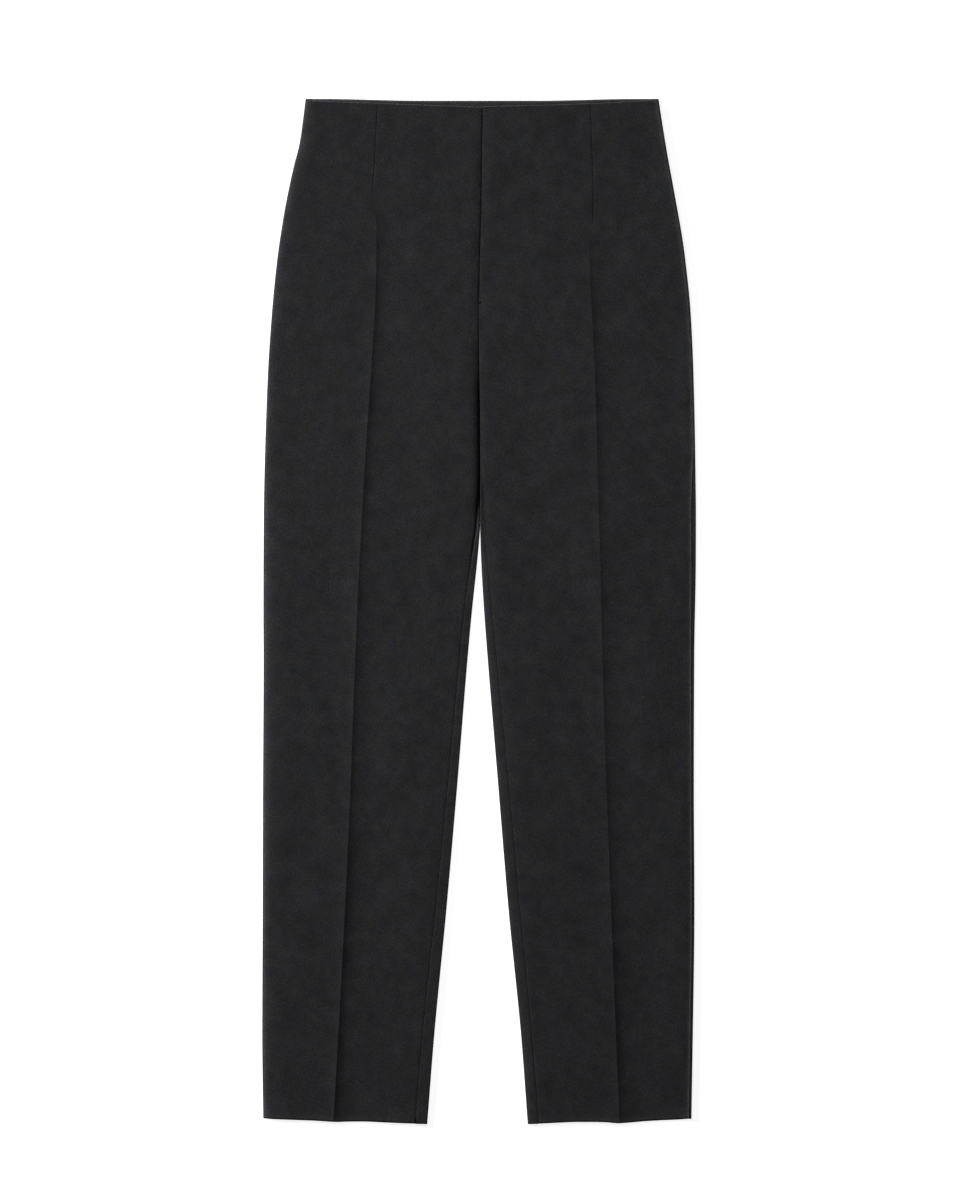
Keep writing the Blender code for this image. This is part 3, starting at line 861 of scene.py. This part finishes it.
def shell_object(name, points, flat, worn, turned, material):
    """A cloth shell through a grid of outer points, with the cut's flat places as its UVs."""
    rows, cols = points.shape[:2]
    index = np.arange(rows * cols).reshape(rows, cols)
    corners = [index[:-1, :-1], index[:-1, 1:], index[1:, 1:], index[1:, :-1]]
    faces = np.stack(corners[::-1] if turned else corners, axis=2).reshape(-1, 4)
    mesh = bpy.data.meshes.new(name)
    mesh.vertices.add(rows * cols)
    mesh.vertices.foreach_set("co", (points * MM).astype(np.float32).ravel())
    mesh.loops.add(faces.size)
    mesh.loops.foreach_set("vertex_index", faces.astype(np.int32).ravel())
    mesh.polygons.add(len(faces))
    mesh.polygons.foreach_set("loop_start", np.arange(0, faces.size, 4, dtype=np.int32))
    mesh.polygons.foreach_set("use_smooth", np.ones(len(faces), dtype=bool))
    mesh.update(calc_edges=True)
    layer = mesh.uv_layers.new(name="cut")
    places = (flat.reshape(-1, 2) * MM)[faces.ravel()]
    layer.data.foreach_set("uv", places.astype(np.float32).ravel())
    mesh.validate()
    # The painted highlights, sheen and shade, with the rubbing on folded edges, go to the
    # material as a point attribute.
    wear_and_light_layer = mesh.attributes.new("worn", "FLOAT", "POINT")
    wear_and_light_layer.data.foreach_set("value", worn.astype(np.float32).ravel())
    mesh.materials.append(material)
    shell = bpy.data.objects.new(name, mesh)
    bpy.context.scene.collection.objects.link(shell)
    wall = shell.modifiers.new("cloth", "SOLIDIFY")
    wall.thickness = CLOTH * MM
    wall.offset = -1
    return shell


def panel_shell(name, side, panel, height, inwards, worn, material):
    """A panel's shell, raised by a height and then moved in from its surface."""
    points = moved_in(np.stack([panel.x, panel.y, panel.z + height], axis=2), side, inwards)
    points[:, :, 2] = np.maximum(points[:, :, 2], 0.0)
    flat = np.stack([-side.out * panel.from_fold, panel.y], axis=2)
    return shell_object("cloth_" + name, points, flat, worn, side.out < 0, material)


def front_shell(name, side, material):
    """One front: dart, crease, seams and folded edges on its laid surface."""
    panel = laid_panel(side, front_columns, True)
    y = panel.y
    inside = np.minimum(panel.from_outseam, panel.from_inner)
    height = crease_height(side, y, panel.from_fold) + panel.strip
    height += HEM_RISE * fading(panel.from_hem, HEM_REACH)
    height += laid_waves(panel.x, y) * smooth_step(0, STILL_NEAR_SEAM, inside)
    height += gathers(y, inside)
    outseam_sink = OUTSEAM_SINK * (1 - STRIP_FILLS * side.strip)
    inwards = edge_curl(panel.from_waist) + edge_curl(panel.from_hem)
    inwards += dart_sink(side, y, panel.from_fold)
    inwards += outseam_sink * bell(panel.from_outseam, SEAM_SINK_REACH)
    inwards += inner_seam_depth(side, y) * bell(panel.from_inner, SEAM_SINK_REACH)
    # Folded waist and hem edges are lighter, partly from rubbing and partly as a painted
    # highlight.
    worn = FRONT_EDGE_WEAR_AND_HIGHLIGHT * (edge_wear_and_highlight(panel.from_waist) + edge_wear_and_highlight(panel.from_hem))
    # A painted sheen above the hem.
    worn += HEM_SHEEN * fading(panel.from_hem, HEM_REACH)
    # A painted sheen along the outer edge, and a painted highlight with rubbing on the strip's
    # edge.
    worn += outer_sheen(side, y, panel.from_outseam)
    # Painted shade in the gap between the thighs.
    worn -= thigh_shade(name, y, panel.from_inner)
    # Painted shade along the dart's stitched line.
    worn -= DART_SHADE * stitched(side, y) * bell(panel.from_fold, DART_REACH)
    return panel_shell(name, side, panel, height, inwards, worn, material)


def back_shell(name, side, material):
    """One back: round the leg's edges and under it, with its seams and folded edges."""
    panel = laid_panel(side, back_columns, False)
    y = panel.y
    height = panel.strip * np.clip(panel.z / smooth_value(HEIGHTS, "crown", y), 0, 1)
    inwards = edge_curl(panel.from_waist) + edge_curl(panel.from_hem)
    inwards *= BACK_CURL * smooth_step(0.0, BACK_CURL_CORNER, panel.across)
    inwards += back_fold_sink(y, panel.from_fold)
    inwards += BACK_OUTSEAM_SINK * bell(panel.from_outseam, SEAM_SINK_REACH)
    inwards += inner_seam_depth(side, y) * bell(panel.from_inner, SEAM_SINK_REACH)
    # Folded waist and hem edges are lighter, partly from rubbing and partly as a painted
    # highlight.
    worn = BACK_WAIST_WEAR_AND_HIGHLIGHT * edge_wear_and_highlight(panel.from_waist)
    worn += BACK_HEM_WEAR_AND_HIGHLIGHT * edge_wear_and_highlight(panel.from_hem)
    # Painted shade in the gap between the thighs.
    worn -= thigh_shade(name, y, panel.from_inner)
    return panel_shell(name, side, panel, height, inwards, worn, material)


def facing_shell(name, material):
    """The back waist facing, whose upper edge shows above the fronts."""
    left = RIGHT_SECTIONS[0].outer + FACING_INSET
    right = LEFT_SECTIONS[0].outer - FACING_INSET
    x, down = np.meshgrid(np.linspace(left, right, FACING_COLUMNS),
                          FACING_DEPTH * shares(FACING_DEPTH, True, False))
    y = WAIST_LINE + back_waist_shift(x) - FACING_BELOW_EDGE - down
    wave = np.sin(2 * pi * x / FACING_WAVE_LENGTH) * fading(down, FACING_WAVE_REACH)
    z = FACING_TOP + FACING_WAVE * wave - FACING_CURL * edge_curl(down)
    points = np.stack([x, y, z], axis=2)
    flat = np.stack([x, y], axis=2)
    # The facing's folded top edge is lighter, partly from rubbing and partly as a painted
    # highlight.
    shell = shell_object("cloth_" + name, points, flat, edge_wear_and_highlight(down), False, material)
    shell.modifiers["cloth"].thickness = FACING_THICK * MM
    return shell


# ---- Stitches --------------------------------------------------------------------------------


def thread_tubes(name, lines, material):
    """Stitches as one tube object, one tube a line of points."""
    curve = bpy.data.curves.new(name, "CURVE")
    curve.dimensions = "3D"
    curve.bevel_depth = THREAD_RADIUS * MM
    curve.bevel_resolution = 2
    curve.use_fill_caps = True
    for line in lines:
        spline = curve.splines.new("POLY")
        spline.points.add(len(line) - 1)
        for point, place in zip(spline.points, line):
            point.co = (*(value * MM for value in place), 1)
    curve.materials.append(material)
    tubes = bpy.data.objects.new(name, curve)
    bpy.context.scene.collection.objects.link(tubes)
    return tubes


def strand(start, end, bulge, count, below=0.0):
    """Points of a thread from start to end, raised in its middle."""
    share = np.linspace(0, 1, count)
    line = np.outer(1 - share, start) + np.outer(share, end)
    line[:, 1] -= below
    line[:, 2] += bulge * np.sin(pi * share)
    return line


def bar_tack(material):
    """The small tack across the centre-front seam where the zip ends."""
    lines = [strand(TACK_START, TACK_END, TACK_BULGE, TACK_POINTS, below=TACK_PITCH * i)
             for i in range(TACK_STRANDS)]
    return thread_tubes("tack", lines, material)


def tack_end(material):
    """The thread's pale end just below the tack."""
    line = strand(LOOSE_START, LOOSE_END, LOOSE_BULGE, LOOSE_POINTS)
    return thread_tubes("tack_end", [line], material)


# ---- Materials -------------------------------------------------------------------------------

SUITING_WARM = (0.0146, 0.0143, 0.0142)
SUITING_COOL = (0.0128, 0.0134, 0.0166)
FACING_WARM = (0.0215, 0.0210, 0.0213)
FACING_COOL = (0.0198, 0.0203, 0.0238)
TAPE_DARK = (0.006, 0.006, 0.007)
TAPE_LIGHT = (0.016, 0.016, 0.018)
THREAD_DARK = (0.0015, 0.0015, 0.0018)
THREAD_LIGHT = (0.004, 0.004, 0.0045)

# How the suiting's patterns lie on the cut, and how strongly each one changes its tone, as do the
# painted highlights, sheen and shade with the rubbing on folded edges.
PATTERN_TURN = (0, 0, radians(33))
PATTERN_STRETCH = (1.0, 0.85, 1.0)
PATTERN_SHIFT = (3.1, 1.7, 0.0)
HUE_STARTS = 0.4
HUE_ENDS = 0.6
CLOUD_STRENGTH = 0.6
MOTTLE_STRENGTH = 0.78
GRAIN_STRENGTH = 1.2
WEAR_AND_LIGHT_STRENGTH = 0.7
WEAVE_HEIGHT = 0.2


class Nodes:
    """Adds nodes to a material."""

    def __init__(self, name):
        self.material = bpy.data.materials.new(name)
        self.material.use_nodes = True
        self.tree = self.material.node_tree
        self.shader = self.tree.nodes["Principled BSDF"]

    def feed(self, node, inputs):
        """Links each value to its socket if it comes from a node, and sets it otherwise."""
        for socket, value in inputs.items():
            if isinstance(value, bpy.types.NodeSocket):
                self.tree.links.new(value, node.inputs[socket])
            else:
                node.inputs[socket].default_value = value

    def add(self, kind, inputs, **settings):
        """A node with its settings and inputs."""
        node = self.tree.nodes.new(kind)
        for name, value in settings.items():
            setattr(node, name, value)
        self.feed(node, inputs)
        return node

    def place(self, space):
        """Where a point lies in this space."""
        return self.add("ShaderNodeTexCoord", {}).outputs[space]

    def math(self, operation, *values):
        """The outcome of a sum or product of values."""
        return self.add("ShaderNodeMath", dict(enumerate(values)), operation=operation).outputs[0]

    def scaled(self, value, factor, offset):
        """value times factor plus offset."""
        return self.math("MULTIPLY_ADD", value, factor, offset)

    def toned(self, pattern, strength):
        """A pattern from 0 to 1 as a factor on both sides of 1."""
        return self.scaled(pattern, strength, 1 - strength / 2)

    def noise(self, place, scale, detail, roughness=0.5):
        """A noise pattern at a place."""
        inputs = {"Vector": place, "Scale": scale, "Detail": detail, "Roughness": roughness}
        return self.add("ShaderNodeTexNoise", inputs).outputs["Fac"]

    def ribs(self, place, direction, scale, distortion=0.0):
        """Even ribs that run one way."""
        inputs = {"Vector": place, "Scale": scale, "Distortion": distortion}
        return self.add("ShaderNodeTexWave", inputs, bands_direction=direction).outputs["Fac"]

    def tones(self, value, first, second, start=0.0, end=1.0):
        """One colour up to start, the other from end on, and mixed between them."""
        ramp = self.add("ShaderNodeValToRGB", {"Fac": value})
        stops = zip(ramp.color_ramp.elements, (start, end), (first, second))
        for element, position, colour in stops:
            element.position = position
            element.color = (*colour, 1)
        return ramp.outputs["Color"]

    def weave(self, height, strength):
        """The normal of a weave, raised by a height from 0 to 1."""
        inputs = {"Strength": strength, "Distance": WEAVE_HEIGHT * MM, "Height": height}
        return self.add("ShaderNodeBump", inputs).outputs[0]

    def finished(self, inputs):
        """The material, with the shader's inputs."""
        self.feed(self.shader, inputs)
        return self.material


def cloth_material(name, warm, cool):
    """Fine charcoal twill: two mottled greys, clouded and grained, with painted highlights, sheen
    and shade, and folded edges lighter partly from rubbing.
    """
    nodes = Nodes(name)
    place = nodes.place("UV")
    turned = {"Vector": place, "Rotation": PATTERN_TURN, "Scale": PATTERN_STRETCH}
    stretched = nodes.add("ShaderNodeMapping", turned).outputs[0]
    shifted = nodes.add("ShaderNodeVectorMath", {0: stretched, 1: PATTERN_SHIFT},
                        operation="ADD").outputs[0]
    cloud = nodes.noise(stretched, scale=38.0, detail=2.0)
    mottle = nodes.noise(shifted, scale=95.0, detail=2.0, roughness=0.55)
    hue = nodes.noise(shifted, scale=70.0, detail=4.0, roughness=0.85)
    grain = nodes.noise(stretched, scale=620.0, detail=0.0)
    tone = nodes.math("MULTIPLY", nodes.toned(cloud, CLOUD_STRENGTH),
                      nodes.toned(mottle, MOTTLE_STRENGTH))
    speck = nodes.toned(grain, GRAIN_STRENGTH)
    # This point attribute lightens the colour with painted highlights and sheen, partly rubbing
    # on folded edges, and darkens it with painted shade.
    worn = nodes.add("ShaderNodeAttribute", {}, attribute_name="worn").outputs["Fac"]
    wear_and_light_factor = nodes.scaled(worn, WEAR_AND_LIGHT_STRENGTH, offset=1.0)
    strength = nodes.math("MULTIPLY", nodes.math("MULTIPLY", tone, speck), wear_and_light_factor)
    greys = nodes.tones(hue, warm, cool, HUE_STARTS, HUE_ENDS)
    colour = nodes.add("ShaderNodeVectorMath", {0: greys, "Scale": strength}, operation="SCALE")
    twill = nodes.ribs(place, "DIAGONAL", scale=900.0, distortion=1.0)
    return nodes.finished({
        "Base Color": colour.outputs[0],
        "Normal": nodes.weave(nodes.math("ADD", twill, grain), strength=0.35),
        "Roughness": nodes.scaled(grain, factor=0.2, offset=0.75),
        "Specular IOR Level": 0.1,
        "Sheen Weight": 0.12,
        "Sheen Roughness": 0.3,
    })


def tape_material():
    """Black woven zip tape: fine ribs across it."""
    nodes = Nodes("tape")
    place = nodes.place("Object")
    ribs = nodes.ribs(place, "Y", scale=450.0)
    fuzz = nodes.noise(place, scale=900.0, detail=2.0)
    return nodes.finished({
        "Base Color": nodes.tones(fuzz, TAPE_DARK, TAPE_LIGHT),
        "Normal": nodes.weave(nodes.math("ADD", ribs, fuzz), strength=0.5),
        "Roughness": nodes.scaled(fuzz, factor=0.3, offset=0.5),
    })


def thread_material():
    """Matt black thread with a fine twist."""
    nodes = Nodes("thread")
    twist = nodes.ribs(nodes.place("Object"), "DIAGONAL", scale=1500.0)
    return nodes.finished({
        "Base Color": nodes.tones(twist, THREAD_DARK, THREAD_LIGHT),
        "Roughness": nodes.scaled(twist, factor=0.15, offset=0.8),
        "Specular IOR Level": 0.05,
    })


def floor_material():
    """Matt pale paper."""
    return Nodes("floor").finished({
        "Base Color": (0.5, 0.5, 0.5, 1),
        "Emission Color": (1, 1, 1, 1),
        "Emission Strength": 0.85,
        "Roughness": 0.95,
        "Specular IOR Level": 0.1,
    })


# ---- Studio ----------------------------------------------------------------------------------

VIEW_HEIGHT = 1200.0
VIEW_CENTRE = (1.0, 11.45)
CAMERA_DISTANCE = 8000.0
SENSOR = 36.0

# The studio's own sizes and places are in metres.
CAMERA_SEES = 100.0
FLOOR_SIZE = 80.0
FLOOR_BELOW = 0.0003
BACKDROP_SIDES = 96
WORLD_STRENGTH = 0.036
Lamp = namedtuple("Lamp", "name place size energy")

# A soft key light from the upper left, low over the floor, and a weak one overhead.
LAMPS = (
    Lamp("key", (-5.0, 2.85, 2.1), 2.25, 905.0),
    Lamp("overhead", (-0.05, 0.12, 1.0), 0.6, 3.1),
)


def add_camera():
    """Straight above the garment, far off, with a little room all round."""
    camera = bpy.data.objects.new("camera", bpy.data.cameras.new("camera"))
    camera.data.sensor_width = SENSOR
    camera.data.lens = SENSOR * CAMERA_DISTANCE / VIEW_HEIGHT
    camera.data.clip_end = CAMERA_SEES
    camera.location = (VIEW_CENTRE[0] * MM, VIEW_CENTRE[1] * MM, CAMERA_DISTANCE * MM)
    bpy.context.scene.collection.objects.link(camera)
    bpy.context.scene.camera = camera


def add_floor():
    """A pale floor, and a backdrop of the same paper round it that gives no light."""
    bpy.ops.mesh.primitive_plane_add(size=FLOOR_SIZE, location=(0, 0, -FLOOR_BELOW))
    floor = bpy.context.object
    floor.name = "floor"
    paper = floor_material()
    floor.data.materials.append(paper)
    bpy.ops.mesh.primitive_cylinder_add(
        radius=FLOOR_SIZE / 2, depth=FLOOR_SIZE, end_fill_type="NOTHING", vertices=BACKDROP_SIDES)
    backdrop = bpy.context.object
    backdrop.name = "backdrop"
    backdrop.data.materials.append(paper)
    for ray in ("diffuse", "glossy", "shadow", "transmission"):
        setattr(backdrop, "visible_" + ray, False)


def add_light():
    """Square soft lamps aimed at the middle of the garment, and a faint even fill."""
    for lamp in LAMPS:
        light = bpy.data.lights.new(lamp.name, "AREA")
        light.size = lamp.size
        light.energy = lamp.energy
        holder = bpy.data.objects.new(lamp.name, light)
        holder.location = lamp.place
        holder.rotation_mode = "QUATERNION"
        holder.rotation_quaternion = holder.location.to_track_quat("Z", "Y")
        bpy.context.scene.collection.objects.link(holder)
    world = bpy.data.worlds.new("studio")
    world.use_nodes = True
    background = world.node_tree.nodes["Background"]
    background.inputs["Color"].default_value = (1, 1, 1, 1)
    background.inputs["Strength"].default_value = WORLD_STRENGTH
    bpy.context.scene.world = world
    bpy.context.scene.view_settings.view_transform = "Standard"


# ---- Everything ------------------------------------------------------------------------------


def dress(shell, node):
    """Puts a cloth shell in the place of its plain node."""
    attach(shell, "root")
    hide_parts(node)


add_camera()
add_floor()
add_light()
suiting = cloth_material("suiting", SUITING_WARM, SUITING_COOL)
facing_cloth = cloth_material("facing", FACING_WARM, FACING_COOL)

for side in SIDES:
    back = back_shell("back_" + side.name, side, suiting)
    dress(back, "back_" + side.name)
    front = front_shell("front_" + side.name, side, suiting)
    dress(front, "front_" + side.name)
facing = facing_shell("facing_back", facing_cloth)
dress(facing, "facing_back")

tape = tape_material()
for zip_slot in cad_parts["zip"].material_slots:
    zip_slot.material = tape
for stitches in (bar_tack(thread_material()), tack_end(facing_cloth)):
    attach(stitches, "root")
